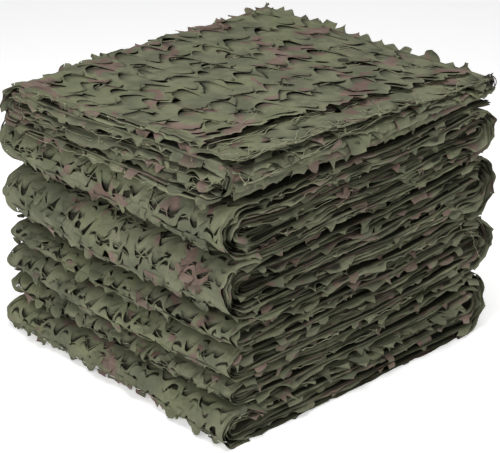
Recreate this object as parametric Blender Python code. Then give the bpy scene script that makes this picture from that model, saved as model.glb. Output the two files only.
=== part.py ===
"""A large camouflage net, folded into a pile of five packets.

The net is one sheet of leaf-cut cloth on a carrier of thin string. It is modelled as that sheet:
a section of its layers, which run back and forth across the pile and turn in nested folds at its
ends. The four lower packets are one long section in the XZ plane, so that their layers end on the
-Y and +Y faces. The top packet is turned a quarter: its section lies in the YZ plane, with its
layers' edges on the -X and +X faces and its two free edges at the front, -Y. A thicker border cord
runs along the second of those edges.

Metres, +Z up. The origin is under the middle of the pile, on the surface that it rests on.
"""
import math
from collections import namedtuple

import bmesh
import bpy
from mathutils import Vector

# Driving sizes
WIDTH, DEPTH = 0.60, 0.555  # along X and along Y
SHEET = 0.005  # one layer, with the loft of its cut leaves and its strings
TIP_PITCH = 0.0074  # from layer to layer at the tips of a fold
LAYER_STOPS = (0.0, 0.13, 0.5, 0.87, 1.0)  # of a layer's length, between its folds
QUARTER_STEPS = 3  # steps in each quarter turn of a fold
LOWER_STATIONS = 5  # cuts across the length of a layer
UPPER_STATIONS = 8
TURN = 0.10  # how long and wide the hidden block is, in which the net turns a quarter
CORD = 0.0045  # the border cord's diameter
CORD_GAP = 0.0006
EDGE_UNEVEN = 0.0055  # how far one layer's edge reaches past the mean
EDGE_SET_BACK = 0.006  # of the mean edge, from DEPTH or WIDTH
SPLAY = 0.030  # how much further out at -X the top packet's foot reaches than its top
NOSE_SWELL = 0.005  # how far the fold noses swell in and out
LAYER_WAVE = 0.003  # how far the layers rise and sink
LOOSE_HEIGHT = 0.11  # the waves die out from here down to the floor

# How the layers lie, top to bottom. A row of a table is one nest of folds, or a band of layers that
# only pass by. layers: how many lie in it. bottom and top: its height. eye: the open
# height in its middle. tip: how far out its outermost fold, or its free edge, reaches. turn: how
# long the folds are, along the layers.
Nest = namedtuple("Nest", "layers bottom top eye tip turn")

LOWER_LEFT = (  # at -X
    Nest(10, 0.304, 0.389, 0.013, 0.300, 0.047),
    Nest(10, 0.204, 0.304, 0.016, 0.304, 0.050),
    Nest(4, 0.160, 0.204, 0.008, 0.294, 0.026),
    Nest(6, 0.106, 0.160, 0.011, 0.301, 0.036),
    Nest(4, 0.063, 0.106, 0.008, 0.291, 0.026),
    Nest(6, 0.000, 0.063, 0.013, 0.304, 0.032),
)
LOWER_MIDDLE = (
    Nest(10, 0.323, 0.404, 0.0, 0.0, 0.0),
    Nest(10, 0.216, 0.323, 0.0, 0.0, 0.0),
    Nest(10, 0.116, 0.216, 0.0, 0.0, 0.0),
    Nest(10, 0.000, 0.116, 0.0, 0.0, 0.0),
)
LOWER_RIGHT = (  # at +X. Each nest also takes in the top layer of the packet below
    Nest(1, 0.410, 0.418, 0.0, 0.287, 0.030),
    Nest(10, 0.331, 0.410, 0.011, 0.301, 0.047),
    Nest(10, 0.220, 0.331, 0.014, 0.305, 0.050),
    Nest(10, 0.118, 0.220, 0.012, 0.303, 0.048),
    Nest(9, 0.000, 0.118, 0.014, 0.303, 0.042),
)
# The top packet's heights are above the lower packets, before it settles on them.
UPPER_LEFT = (  # at the front, -Y
    Nest(1, 0.061, 0.070, 0.0, 0.256, 0.030),
    Nest(1, 0.052, 0.061, 0.0, 0.268, 0.030),
    Nest(6, 0.000, 0.052, 0.007, 0.277, 0.036),
)
UPPER_MIDDLE = (Nest(8, 0.000, 0.070, 0.0, 0.0, 0.0),)
UPPER_RIGHT = (Nest(8, 0.000, 0.070, 0.010, 0.278, 0.042),)  # at the back, +Y
UPPER_HEIGHT = 0.070

# Heights at the pile's corners, first at -X and +X of the front, then of the back: of its top, and
# of the seat that the top packet lies on. The whole pile then sinks a little toward the back.
TOP_CORNERS = ((0.470, 0.457), (0.452, 0.480))
SEAT_CORNERS = ((0.392, 0.421), (0.392, 0.421))
CROWN = 0.006  # how much higher the top is half way between -X and +X
BACK_SINKS = 0.020  # of every height

Point = namedtuple("Point", "along height layer")
Side = namedtuple("Side", "partner depth height shut nest")


def smooth(t):
    """0 to 1 without a corner at either end."""
    t = min(max(t, 0.0), 1.0)
    return t * t * (3.0 - 2.0 * t)


def mix(a, b, t):
    return a + (b - a) * t


def bilinear(corners, u, v):
    """Between four corner values, with u along X and v along Y, both 0 to 1."""
    front, back = corners
    return mix(mix(front[0], front[1], u), mix(back[0], back[1], u), v)


def read_side(nests):
    """For each layer on one side of the pile: the layer that its fold leads to, how deep that fold
    lies in its nest, its height, its height where the eye has shut, and the nest. The middle layer
    of an odd nest leads nowhere, and the lowest layer lies flat on what is below."""
    side = Side({}, [], [], [], [])
    for nest in nests:
        first = len(side.height)
        shut_pitch = (nest.top - nest.bottom) / nest.layers
        pitch = shut_pitch - nest.eye / nest.layers
        for k in range(nest.layers):
            mirrored = nest.layers - 1 - k
            under_eye = nest.eye if k > mirrored else 0.0
            side.height.append(nest.top - pitch * (k + 0.5) - under_eye)
            side.shut.append(nest.top - shut_pitch * (k + 0.5))
            side.depth.append(min(k, mirrored))
            side.nest.append(nest)
            if k != mirrored:
                side.partner[first + k] = first + mirrored
    side.height[-1] = side.shut[-1] = SHEET / 2
    return side


def base_of(side, layer):
    """Where a layer ends and its fold begins, measured out from the middle of the pile."""
    return side.nest[layer].tip - side.nest[layer].turn


def fold_points(side, sign, layer):
    """The half turn that leads from a layer to its partner, as two quarters of an ellipse."""
    nest, other = side.nest[layer], side.partner[layer]
    inner = sorted((layer, other))
    half = (inner[1] - inner[0] - 1) // 2
    eye = (side.height[inner[0] + half] + side.height[inner[1] - half]) / 2
    tip = nest.tip - SHEET / 2 - TIP_PITCH * side.depth[layer]
    base = base_of(side, layer)
    points = []
    for k in range(1, 2 * QUARTER_STEPS):
        angle = math.pi / 2 * k / QUARTER_STEPS
        end = layer if angle < math.pi / 2 else other
        rise = (side.height[end] - eye) * abs(math.cos(angle))
        share = smooth(angle / math.pi)
        out = sign * mix(base, tip, math.sin(angle))
        points.append(Point(out, eye + rise, mix(layer, other, share)))
    return points


def layer_points(left, middle, right, layer, leftward):
    """A layer's way across the pile, from the end of one fold to the start of the next."""
    start, stop = -base_of(left, layer), base_of(right, layer)
    points = []
    for t in LAYER_STOPS:
        side, inward = (left, t) if t < 0.5 else (right, 1.0 - t)
        height = mix(side.height[layer], side.shut[layer], smooth(inward / LAYER_STOPS[1]))
        height = mix(height, middle.height[layer], smooth(2.0 * inward))
        points.append(Point(mix(start, stop, t), height, layer))
    return points[::-1] if leftward else points


def trace(left_nests, middle_nests, right_nests, leftward):
    """Follows the cloth from a free end of its top layer through every fold to its other free end."""
    left, middle, right = read_side(left_nests), read_side(middle_nests), read_side(right_nests)
    side, sign = (right, 1) if leftward else (left, -1)
    layer = 0
    points = [Point(sign * side.nest[0].tip, side.height[0], 0)]
    while True:
        points += layer_points(left, middle, right, layer, leftward)
        side, sign = (left, -1) if leftward else (right, 1)
        if layer not in side.partner:
            break
        points += fold_points(side, sign, layer)
        layer = side.partner[layer]
        leftward = not leftward
    nest = side.nest[layer]
    reach = nest.tip if nest.layers == 1 else base_of(side, layer) + nest.eye / 2
    points.append(Point(sign * reach, side.height[layer], layer))
    return points


def thicken(points):
    """The two faces of the sheet whose middle runs through these points, half of SHEET off it."""
    flat = [Vector((p.along, p.height)) for p in points]
    steps = [(b - a).normalized() for a, b in zip(flat, flat[1:])]
    normals = [Vector((-s.y, s.x)) for s in steps]
    faces = []
    for k, point in enumerate(flat):
        before, after = normals[max(k - 1, 0)], normals[min(k, len(normals) - 1)]
        mitre = (before + after) / (1.0 + before.dot(after)) * (SHEET / 2)
        faces.append((point + mitre, point - mitre))
    return faces


def sheet_mesh(name, points, stations, place):
    """Draws the section out across the pile, into one closed mesh. place(along, across, height,
    layer) gives a vertex its place. across is -1 to 1."""
    faces_of = thicken(points)
    count = len(points)
    verts = []
    for s in range(stations):
        across = 2.0 * s / (stations - 1) - 1.0
        for point, pair in zip(points, faces_of):
            verts += [place(side.x, across, side.y, point.layer) for side in pair]

    def at(s, k, face):
        return (s * count + k) * 2 + face

    quads = []
    for s in range(stations - 1):
        for k in range(count - 1):
            quads.append((at(s, k, 0), at(s, k + 1, 0), at(s + 1, k + 1, 0), at(s + 1, k, 0)))
            quads.append((at(s, k, 1), at(s + 1, k, 1), at(s + 1, k + 1, 1), at(s, k + 1, 1)))
        quads.append((at(s, 0, 0), at(s + 1, 0, 0), at(s + 1, 0, 1), at(s, 0, 1)))
        last = count - 1
        quads.append((at(s, last, 0), at(s, last, 1), at(s + 1, last, 1), at(s + 1, last, 0)))
    for k in range(count - 1):
        s = stations - 1
        quads.append((at(0, k, 0), at(0, k, 1), at(0, k + 1, 1), at(0, k + 1, 0)))
        quads.append((at(s, k, 0), at(s, k + 1, 0), at(s, k + 1, 1), at(s, k, 1)))
    mesh = bpy.data.meshes.new(name)
    mesh.from_pydata(verts, [], quads)
    mesh.validate()
    return mesh


def edge_reach(layer, across):
    """How far a layer's edge stands out past the others, or back from them."""
    phase = 2.4 * layer + (5.2 if across > 0 else 3.5)
    return EDGE_UNEVEN * (math.sin(phase) + 0.4 * math.sin(0.7 * layer + 1.0))


def settle(x, y, z):
    """The pile's unevenness: its fold noses swell in and out, and its layers rise and sink in slow
    waves, which die out toward the floor so that the lowest layer lies flat."""
    outer = min(abs(x) / (WIDTH / 2), 1.0) ** 4
    x += outer * NOSE_SWELL * math.sin(9.0 * y + 14.0 * z + (0.6 if x > 0 else 2.1))
    wave = math.sin(10.0 * x + 0.8) * math.cos(8.0 * y - 0.5)
    z += smooth(z / LOOSE_HEIGHT) * LAYER_WAVE * wave
    z *= 1.0 - BACK_SINKS * (0.5 + y / DEPTH)
    return Vector((x, y, z))


def place_lower(along, across, height, layer):
    y = across * (DEPTH / 2 - EDGE_SET_BACK + edge_reach(layer, across))
    return settle(along, y, height)


def place_upper(along, across, height, layer):
    """The top packet: along is Y here and across is X. Its -X edges stand further out, layer by
    layer, toward its foot. It follows the seat below and the heights of the pile's top corners."""
    share = height / UPPER_HEIGHT
    out = WIDTH / 2 - EDGE_SET_BACK + edge_reach(layer, across)
    out -= (SPLAY if across < 0 else SPLAY / 3) * share
    x = across * out
    u, v = 0.5 + x / WIDTH, 0.5 + along / DEPTH
    low, high = bilinear(SEAT_CORNERS, u, v), bilinear(TOP_CORNERS, u, v)
    z = mix(low, high + CROWN * math.sin(math.pi * min(max(u, 0.0), 1.0)), share)
    return settle(x, along, z)


def turn_mesh(lower_points, upper_points):
    """Where the net turns from one way of folding to the other, hidden in the middle of the pile: a
    small gathered block between the lower packets' top layer and the top packet's lowest one. Its
    faces lie at the middle of those two sheets, so that they join."""
    lowest = UPPER_MIDDLE[0].layers - 1
    below = next(p for p in lower_points if p.layer == 0 and abs(p.along) < TURN)
    above = next(p for p in upper_points if p.layer == lowest and abs(p.along) < TURN)
    mesh = bpy.data.meshes.new("turn")
    block = bmesh.new()
    bmesh.ops.create_cube(block, size=1.0)
    for vert in block.verts:
        x, y = vert.co.x * TURN, vert.co.y * TURN
        if vert.co.z < 0:
            vert.co = place_lower(x, y / (DEPTH / 2), below.height, below.layer)
        else:
            vert.co = place_upper(y, x / (WIDTH / 2), above.height, above.layer)
    block.to_mesh(mesh)
    block.free()
    return mesh


def material(name, colour, roughness):
    made = bpy.data.materials.new(name)
    made.use_nodes = True
    shader = made.node_tree.nodes["Principled BSDF"]
    shader.inputs["Base Color"].default_value = (*colour, 1.0)
    shader.inputs["Roughness"].default_value = roughness
    return made


def add_object(name, data, finish):
    made = bpy.data.objects.new(name, data)
    data.materials.append(finish)
    bpy.context.scene.collection.objects.link(made)
    return made


def border_cord(upper_points):
    """Along the second layer's free edge, just off it."""
    edge = upper_points[-1]
    centre = edge.along - CORD / 2 - CORD_GAP
    ends = [place_upper(centre, 2.0 * s / (UPPER_STATIONS - 1) - 1.0, edge.height, edge.layer)
            for s in range(UPPER_STATIONS)]
    curve = bpy.data.curves.new("border_cord", "CURVE")
    curve.dimensions = "3D"
    curve.bevel_depth = CORD / 2
    curve.bevel_resolution = 2
    curve.use_fill_caps = True
    spline = curve.splines.new("POLY")
    route = []
    for a, b in zip(ends, ends[1:]):
        route += [a.lerp(b, t / 4) for t in range(4)]
    route.append(ends[-1])
    spline.points.add(len(route) - 1)
    for point, spot in zip(spline.points, route):
        point.co = (*spot, 1.0)
    return curve


def union(net, other):
    """Joins another closed body to the net's, and hides that body."""
    other.hide_render = True
    other.display_type = "WIRE"
    join = net.modifiers.new("join " + other.name, "BOOLEAN")
    join.operation = "UNION"
    join.solver = "EXACT"
    join.object = other


def main():
    for old in list(bpy.data.objects):
        bpy.data.objects.remove(old)
    cloth = material("leaf_cut_cloth", (0.105, 0.125, 0.060), 0.85)
    twine = material("border_twine", (0.300, 0.310, 0.150), 0.80)

    lower_points = trace(LOWER_LEFT, LOWER_MIDDLE, LOWER_RIGHT, leftward=True)
    upper_points = trace(UPPER_LEFT, UPPER_MIDDLE, UPPER_RIGHT, leftward=False)

    lower = sheet_mesh("net_cloth", lower_points, LOWER_STATIONS, place_lower)
    upper = sheet_mesh("top_packet", upper_points, UPPER_STATIONS, place_upper)
    net = add_object("net_cloth", lower, cloth)
    union(net, add_object("turn", turn_mesh(lower_points, upper_points), cloth))
    union(net, add_object("top_packet", upper, cloth))
    add_object("border_cord", border_cord(upper_points), twine)


main()
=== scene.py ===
"""The looks of the folded camouflage net: leaf-cut cloth in its folds, its ragged layer edges, the
carrier net's strings and the border cord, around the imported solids. Metres, +Z up."""
import math
from collections import namedtuple
from types import SimpleNamespace

import bpy
import numpy as np
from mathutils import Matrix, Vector

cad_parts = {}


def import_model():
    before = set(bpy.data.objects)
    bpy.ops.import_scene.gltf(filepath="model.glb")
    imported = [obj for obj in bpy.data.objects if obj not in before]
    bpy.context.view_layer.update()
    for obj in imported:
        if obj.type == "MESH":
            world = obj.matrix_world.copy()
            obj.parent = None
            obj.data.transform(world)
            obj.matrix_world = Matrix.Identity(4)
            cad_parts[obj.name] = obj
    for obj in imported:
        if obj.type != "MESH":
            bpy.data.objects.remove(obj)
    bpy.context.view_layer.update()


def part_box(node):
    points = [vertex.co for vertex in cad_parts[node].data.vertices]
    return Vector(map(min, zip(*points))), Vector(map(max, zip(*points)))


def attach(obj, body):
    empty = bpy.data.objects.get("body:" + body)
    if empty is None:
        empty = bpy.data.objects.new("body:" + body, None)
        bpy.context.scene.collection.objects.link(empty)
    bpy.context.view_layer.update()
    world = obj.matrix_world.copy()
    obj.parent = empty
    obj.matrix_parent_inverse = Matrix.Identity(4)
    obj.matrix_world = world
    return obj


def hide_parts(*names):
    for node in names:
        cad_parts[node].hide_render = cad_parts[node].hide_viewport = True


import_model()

# ------------------------------------------------------------------ sizes shared with the solids
WIDTH, DEPTH = 0.60, 0.555  # along X and along Y
SHEET = 0.005  # one layer, with its loft
TIP_PITCH = 0.0074  # from layer to layer at the tips of a fold
EDGE_UNEVEN = 0.0055  # how far one layer's edge reaches past the mean
EDGE_SET_BACK = 0.006  # of the mean edge, from DEPTH or WIDTH
SPLAY = 0.030  # how much further out at -X the top packet's foot reaches than its top
NOSE_SWELL = 0.005  # how far the fold noses swell in and out
LAYER_WAVE = 0.003  # how far the layers rise and sink
LOOSE_HEIGHT = 0.11  # the waves die out from here down to the floor
EYE_SHUTS_AT = 0.13  # of a layer's length
CORD, CORD_GAP = 0.0045, 0.0006  # the border cord's thickness, and its distance from the cloth

# How the layers lie, top to bottom: one nest of folds a row, or a band of layers that only pass by.
# layers: how many lie in it. bottom and top: its height. eye: the open height in its middle. tip: how
# far out its outermost fold reaches. turn: how long the folds are, along the layers.
Nest = namedtuple("Nest", "layers bottom top eye tip turn", defaults=(0.0, 0.0, 0.0))
LOWER_LEFT = (  # at -X
    Nest(10, 0.304, 0.389, 0.013, 0.300, 0.047),
    Nest(10, 0.204, 0.304, 0.016, 0.304, 0.050),
    Nest(4, 0.160, 0.204, 0.008, 0.294, 0.026),
    Nest(6, 0.106, 0.160, 0.011, 0.301, 0.036),
    Nest(4, 0.063, 0.106, 0.008, 0.291, 0.026),
    Nest(6, 0.000, 0.063, 0.013, 0.304, 0.032),
)
LOWER_MIDDLE = (
    Nest(10, 0.323, 0.404),
    Nest(10, 0.216, 0.323),
    Nest(10, 0.116, 0.216),
    Nest(10, 0.000, 0.116),
)
LOWER_RIGHT = (  # at +X
    Nest(1, 0.410, 0.418, 0.0, 0.287, 0.030),
    Nest(10, 0.331, 0.410, 0.011, 0.301, 0.047),
    Nest(10, 0.220, 0.331, 0.014, 0.305, 0.050),
    Nest(10, 0.118, 0.220, 0.012, 0.303, 0.048),
    Nest(9, 0.000, 0.118, 0.014, 0.303, 0.042),
)
UPPER_LEFT = (  # at the front, -Y, with heights above the lower packets
    Nest(1, 0.061, 0.070, 0.0, 0.256, 0.030),
    Nest(1, 0.052, 0.061, 0.0, 0.268, 0.030),
    Nest(6, 0.000, 0.052, 0.007, 0.277, 0.036),
)
UPPER_MIDDLE = (Nest(8, 0.000, 0.070),)
UPPER_RIGHT = (Nest(8, 0.000, 0.070, 0.010, 0.278, 0.042),)  # at the back, +Y
UPPER_HEIGHT = 0.070
TOP_CORNERS = ((0.470, 0.457), (0.452, 0.480))  # heights at -X and +X of the front, then of the back
SEAT_CORNERS = ((0.392, 0.421), (0.392, 0.421))
CROWN = 0.006  # how much higher the top is half way between -X and +X
BACK_SINKS = 0.020  # of every height

# ------------------------------------------------------------------ the cloth's own sizes
Leaf = namedtuple("Leaf", "along across depth")  # one repeat of the leaf cuts, and how deep each arc is
TOP_LEAF = Leaf(0.074, 0.066, 0.0270)
FOLD_LEAF = Leaf(0.045, 0.046, 0.0145)
CELL_ROWS, CELL_COLUMNS = 16, 16
ARC_HALF = 4.4  # columns in half a cut's width
TAIL = 3  # columns that a wavy cut runs on, past its arc
EDGE_BEND = 0.006  # length in which a layer's edge bends down
EDGE_STEPS = 5
FLOOR_CLEAR = 0.0004
BACKING_TINT = 0.75


# ------------------------------------------------------------------ small maths
def smooth(t):
    t = np.clip(t, 0.0, 1.0)
    return t * t * (3.0 - 2.0 * t)


def mix(a, b, t):
    return a + (b - a) * t


def bilinear(corners, u, v):
    front, back = corners
    return mix(mix(front[0], front[1], u), mix(back[0], back[1], u), v)


def value_noise(seed, u, v):
    """Smooth noise from -1 to 1 over two coordinates, one lump to a unit: random values on the whole
    numbers, joined by smooth steps."""
    table = np.random.default_rng(seed).uniform(-1.0, 1.0, (64, 64))
    u, v = np.broadcast_arrays(np.asarray(u, float), np.asarray(v, float))
    u0, v0 = np.floor(u), np.floor(v)
    fu, fv = smooth(u - u0), smooth(v - v0)
    iu, iv = u0.astype(int), v0.astype(int)
    corner = [table[(iu + a) % 64, (iv + b) % 64] for a in (0, 1) for b in (0, 1)]
    return mix(mix(corner[0], corner[1], fv), mix(corner[2], corner[3], fv), fu)


def unit(vectors):
    """Vectors of length 1."""
    return vectors / np.maximum(np.linalg.norm(vectors, axis=-1, keepdims=True), 1e-9)


def pick(rng, n, low, high):
    return mix(low, high, rng.random(n))


def spread(rng, n, reach, jitter):
    """Places from -reach to reach, evenly apart but for a jitter."""
    return np.linspace(-reach, reach, n) + rng.uniform(-jitter, jitter, n)


# ------------------------------------------------------------------ the section of the layers
def read_side(nests):
    """For each layer on one side: its partner, how deep its fold lies, its height, its height where
    the eye has shut, and its nest."""
    side = SimpleNamespace(partner={}, depth=[], height=[], shut=[], nest=[])
    for nest in nests:
        first = len(side.height)
        shut_pitch = (nest.top - nest.bottom) / nest.layers
        pitch = shut_pitch - nest.eye / nest.layers
        for k in range(nest.layers):
            mirrored = nest.layers - 1 - k
            under_eye = nest.eye if k > mirrored else 0.0
            side.height.append(nest.top - pitch * (k + 0.5) - under_eye)
            side.shut.append(nest.top - shut_pitch * (k + 0.5))
            side.depth.append(min(k, mirrored))
            side.nest.append(nest)
            if k != mirrored:
                side.partner[first + k] = first + mirrored
    side.height[-1] = side.shut[-1] = SHEET / 2
    return side


def fold_curve(side, sign, layer, steps=20):
    """A half turn from a layer to its partner, as two quarters of an ellipse: columns along, height,
    layer."""
    nest, other = side.nest[layer], side.partner[layer]
    low, high = sorted((layer, other))
    half = (high - low - 1) // 2
    eye = (side.height[low + half] + side.height[high - half]) / 2
    tip = nest.tip - SHEET / 2 - TIP_PITCH * side.depth[layer]
    base = nest.tip - nest.turn
    angle = np.linspace(0.0, math.pi, steps + 1)[1:-1]
    end = np.where(angle < math.pi / 2, side.height[layer], side.height[other])
    height = eye + (end - eye) * np.abs(np.cos(angle))
    along = sign * mix(base, tip, np.sin(angle))
    return np.stack([along, height, mix(layer, other, smooth(angle / math.pi))], 1)


def layer_curve(left, middle, right, layer, leftward, steps=24):
    """A layer's way across the pile, between its folds."""
    start = left.nest[layer].turn - left.nest[layer].tip
    stop = right.nest[layer].tip - right.nest[layer].turn
    t = np.linspace(0.0, 1.0, steps + 1)
    inward = np.minimum(t, 1.0 - t)
    height = np.zeros_like(t)
    for side, here in ((left, t < 0.5), (right, t >= 0.5)):
        shut = mix(side.height[layer], side.shut[layer], smooth(inward / EYE_SHUTS_AT))
        height = np.where(here, mix(shut, middle.height[layer], smooth(2.0 * inward)), height)
    curve = np.stack([mix(start, stop, t), height, np.full_like(t, layer)], 1)
    return curve[::-1] if leftward else curve


def trace(left_nests, middle_nests, right_nests, leftward):
    """Follows the cloth from one free end to the other. Gives evenly spaced points on it with their
    length along the cloth, s, and the stretch of s that each outermost fold takes."""
    left, middle, right = read_side(left_nests), read_side(middle_nests), read_side(right_nests)
    side, sign = (right, 1) if leftward else (left, -1)
    layer = 0
    curves = [np.array([[sign * side.nest[0].tip, side.height[0], 0.0]])]
    marks = []
    while True:
        marks.append(("layer", layer, None, len(curves)))
        curves.append(layer_curve(left, middle, right, layer, leftward))
        side, sign = (left, -1) if leftward else (right, 1)
        if layer not in side.partner:
            break
        innermost = abs(side.partner[layer] - layer) == 1
        marks.append(("fold", layer, (sign, side.depth[layer], innermost), len(curves)))
        curves.append(fold_curve(side, sign, layer))
        layer = side.partner[layer]
        leftward = not leftward
    nest = side.nest[layer]
    reach = nest.tip if nest.layers == 1 else nest.tip - nest.turn + nest.eye / 2
    curves.append(np.array([[sign * reach, side.height[layer], layer]]))
    points = np.concatenate(curves)
    length = np.concatenate([[0.0], np.cumsum(np.hypot(*np.diff(points[:, :2], axis=0).T))])
    starts = np.cumsum([0] + [len(c) for c in curves])
    stretches = [SimpleNamespace(kind=kind, layer=layer, where=where, first=length[starts[k]],
                                 last=length[starts[k + 1] - 1]) for kind, layer, where, k in marks]
    s = np.linspace(0.0, length[-1], int(length[-1] / 0.002) + 1)
    along, height, layers = (np.interp(s, length, points[:, k]) for k in range(3))
    tangent = np.stack([np.gradient(along, s), np.gradient(height, s)], 1)
    tangent /= np.linalg.norm(tangent, axis=1, keepdims=True)
    return SimpleNamespace(s=s, along=along, height=height, layer=layers, tangent=tangent,
                           stretches=stretches, length=float(length[-1]))


def on_section(section, s):
    """Along, height, layer and both parts of the tangent at lengths s, run on straight past the ends."""
    over = s - np.clip(s, 0.0, section.length)
    fields = (section.along, section.height, section.layer, section.tangent[:, 0], section.tangent[:, 1])
    along, height, layer, ta, th = (np.interp(s, section.s, field) for field in fields)
    return along + ta * over, height + th * over, layer, ta, th


# ------------------------------------------------------------------ how the layers lie
def edge_reach(layer, across):
    """How far a layer's edge reaches past the mean."""
    phase = 2.4 * layer + np.where(across > 0, 5.2, 3.5)
    return EDGE_UNEVEN * (np.sin(phase) + 0.4 * np.sin(0.7 * layer + 1.0))


def settle(x, y, z):
    """The pile's slow unevenness, as in its solids, and finer swells that all layers share."""
    outer = np.minimum(np.abs(x) / (WIDTH / 2), 1.0) ** 4
    x = x + outer * NOSE_SWELL * np.sin(9.0 * y + 14.0 * z + np.where(x > 0, 0.6, 2.1))
    wave = np.sin(10.0 * x + 0.8) * np.cos(8.0 * y - 0.5)
    loose = smooth(z / LOOSE_HEIGHT)
    z = z + loose * LAYER_WAVE * wave
    z = z * (1.0 - BACK_SINKS * (0.5 + y / DEPTH))
    x = x + outer * 0.004 * value_noise(3, y / 0.075 + 9.0, z / 0.060)
    z = z + loose * 0.0022 * value_noise(4, x / 0.11 + 20.0, y / 0.10 + 20.0)
    near_side = smooth(np.abs(y) / (DEPTH / 2) * 4.0 - 3.0)
    z = z + loose * near_side * 0.0026 * value_noise(5, x / 0.075 + 20.0, z / 0.024)
    return np.stack(np.broadcast_arrays(x, y, z), -1)


def place_lower(along, across, height, layer):
    """A point of the lower packets. Near the folds their edges lie flush."""
    flush = smooth((np.abs(along) - 0.20) / 0.07)
    y = across * (DEPTH / 2 - EDGE_SET_BACK + edge_reach(layer, across) * (1.0 - 0.7 * flush))
    return settle(along, y, height)


def upper_reach(across, height, layer):
    """How far out the top packet's layers reach at a height: they splay towards its foot."""
    splay = np.where(across < 0, SPLAY, SPLAY / 3) * height / UPPER_HEIGHT
    return WIDTH / 2 - EDGE_SET_BACK + edge_reach(layer, across) - splay


def place_upper(along, across, height, layer):
    """A point of the top packet, between its sloping seat and its sloping, slightly crowned top."""
    x = across * upper_reach(across, height, layer)
    u, v = 0.5 + x / WIDTH, 0.5 + along / DEPTH
    low, high = bilinear(SEAT_CORNERS, u, v), bilinear(TOP_CORNERS, u, v)
    crown = CROWN * np.sin(math.pi * np.clip(u, 0.0, 1.0))
    return settle(x, along, mix(low, high + crown, height / UPPER_HEIGHT))


# Each net: its section, how its points are placed, half its width, the way across it, how far out its
# fold noses start, and where its lengths start on the flat cloth.
LOWER = SimpleNamespace(section=trace(LOWER_LEFT, LOWER_MIDDLE, LOWER_RIGHT, True), place=place_lower,
                        half=DEPTH / 2, sideways=np.array([0.0, 1.0, 0.0]), nose=0.235, flat_start=0.0)
UPPER = SimpleNamespace(section=trace(UPPER_LEFT, UPPER_MIDDLE, UPPER_RIGHT, False), place=place_upper,
                        half=WIDTH / 2, sideways=np.array([1.0, 0.0, 0.0]), nose=0.215, flat_start=40.0)


def on_cloth(net, s, v, out=0.0, ahead=0.0):
    """Points at lengths s along a net's cloth and v across it, moved out to the left of its run and
    straight ahead along it."""
    along, height, layer, ta, th = on_section(net.section, s)
    return net.place(along + ta * ahead - th * out, v / net.half, height + th * ahead + ta * out, layer)


def side_point(net, s, side, inset=0.0):
    """Points on the side edge of a net's layers, at lengths s, with the direction of the edge."""
    v = side * (net.half - inset)
    here = on_cloth(net, s, v)
    return here, unit(on_cloth(net, s + 0.004, v) - here)


# ------------------------------------------------------------------ meshes
def new_mesh(name, co, faces, uv, finish, slot, **marks):
    """A piece from arrays: corners, four-sided faces, each corner's place on the flat cloth, the
    material, its slot, which is not used, and named marks of one number a corner."""
    mesh = bpy.data.meshes.new(name)
    co = np.array(co, dtype=np.float32).reshape(-1, 3)
    uv = np.asarray(uv, dtype=np.float32).reshape(-1, 2)
    faces = np.ascontiguousarray(faces, dtype=np.int32)
    co[:, 2] = np.maximum(co[:, 2], FLOOR_CLEAR)
    mesh.vertices.add(len(co))
    mesh.vertices.foreach_set("co", co.ravel())
    mesh.loops.add(faces.size)
    mesh.loops.foreach_set("vertex_index", faces.ravel())
    mesh.polygons.add(len(faces))
    mesh.polygons.foreach_set("loop_start", np.arange(0, faces.size, 4, dtype=np.int32))
    mesh.polygons.foreach_set("use_smooth", np.ones(len(faces), dtype=bool))
    layer = mesh.uv_layers.new(name="flat_cloth")
    layer.data.foreach_set("uv", uv[faces.ravel()].ravel())
    for mark, values in marks.items():
        attribute = mesh.attributes.new(mark, "FLOAT", "POINT")
        attribute.data.foreach_set("value", np.asarray(values, dtype=np.float32).ravel())
    mesh.update()
    mesh.validate()
    mesh.materials.append(finish)
    piece = bpy.data.objects.new(name, mesh)
    bpy.context.scene.collection.objects.link(piece)
    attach(piece, "root")
    return piece


def cloth_mesh(name, co, faces, uv, rim, lit, tint=0.0):
    """A piece of cloth. rim is how pale its cut edge is, partly from wear and partly as a painted
    highlight, lit how much painted light gets to it, the rest being painted shade, and tint how much
    browner it is than the rest."""
    tint = np.broadcast_to(tint, np.shape(rim))
    return new_mesh(name, co, faces, uv, CLOTH, "leaf_cut_cloth", rim=rim, lit=lit, tint=tint)


def grid_faces(rows, columns, copies=1):
    """The faces of copies of one grid, numbered row by row, copy after copy."""
    number = np.arange(rows * columns).reshape(rows, columns)
    one = np.stack([number[:-1, :-1], number[:-1, 1:], number[1:, 1:], number[1:, :-1]], -1).reshape(-1, 4)
    return (one[None] + (np.arange(copies) * rows * columns)[:, None, None]).reshape(-1, 4)


def ragged(seed, s, base):
    """How far a cut edge reaches past its line, at lengths s: a base with waves of three lengths."""
    wave = 0.35 * value_noise(seed, s / 0.048, 0.5) + 0.30 * value_noise(seed + 1, s / 0.019, 0.5)
    return base * (1.0 + wave + 0.18 * value_noise(seed + 2, s / 0.008, 0.5))


def cusps(seed, v, spacing, depth, whole=0.0):
    """An edge of arcs with a point between every two: the depth at a point times one less the height
    of a half circle over the arc. Spacing and depth are ranges. A share of the arcs is left whole, as
    the blunt end of a leaf."""
    rng = np.random.default_rng(seed)
    steps = rng.uniform(*spacing, int(2 * (np.ptp(v) / spacing[0]) + 6))
    marks = np.concatenate([[v.min() - spacing[1]], steps]).cumsum()
    depths = rng.uniform(*depth, len(marks))
    bite = np.where(rng.random(len(marks)) < whole, -0.12, 1.0)
    k = np.searchsorted(marks, v, side="right") - 1
    t = (v - marks[k]) / (marks[k + 1] - marks[k])
    half_circle = np.sqrt(np.clip(1.0 - (2.0 * t - 1.0) ** 2, 0.0, 1.0))
    return mix(depths[k], depths[k + 1], t) * (1.0 - bite[k] * half_circle)


def steepness(ta):
    """1 round the nose of a fold, where the cloth stands upright, and 0 where it lies level."""
    return smooth(1.5 - 2.0 * np.abs(ta))


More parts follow.
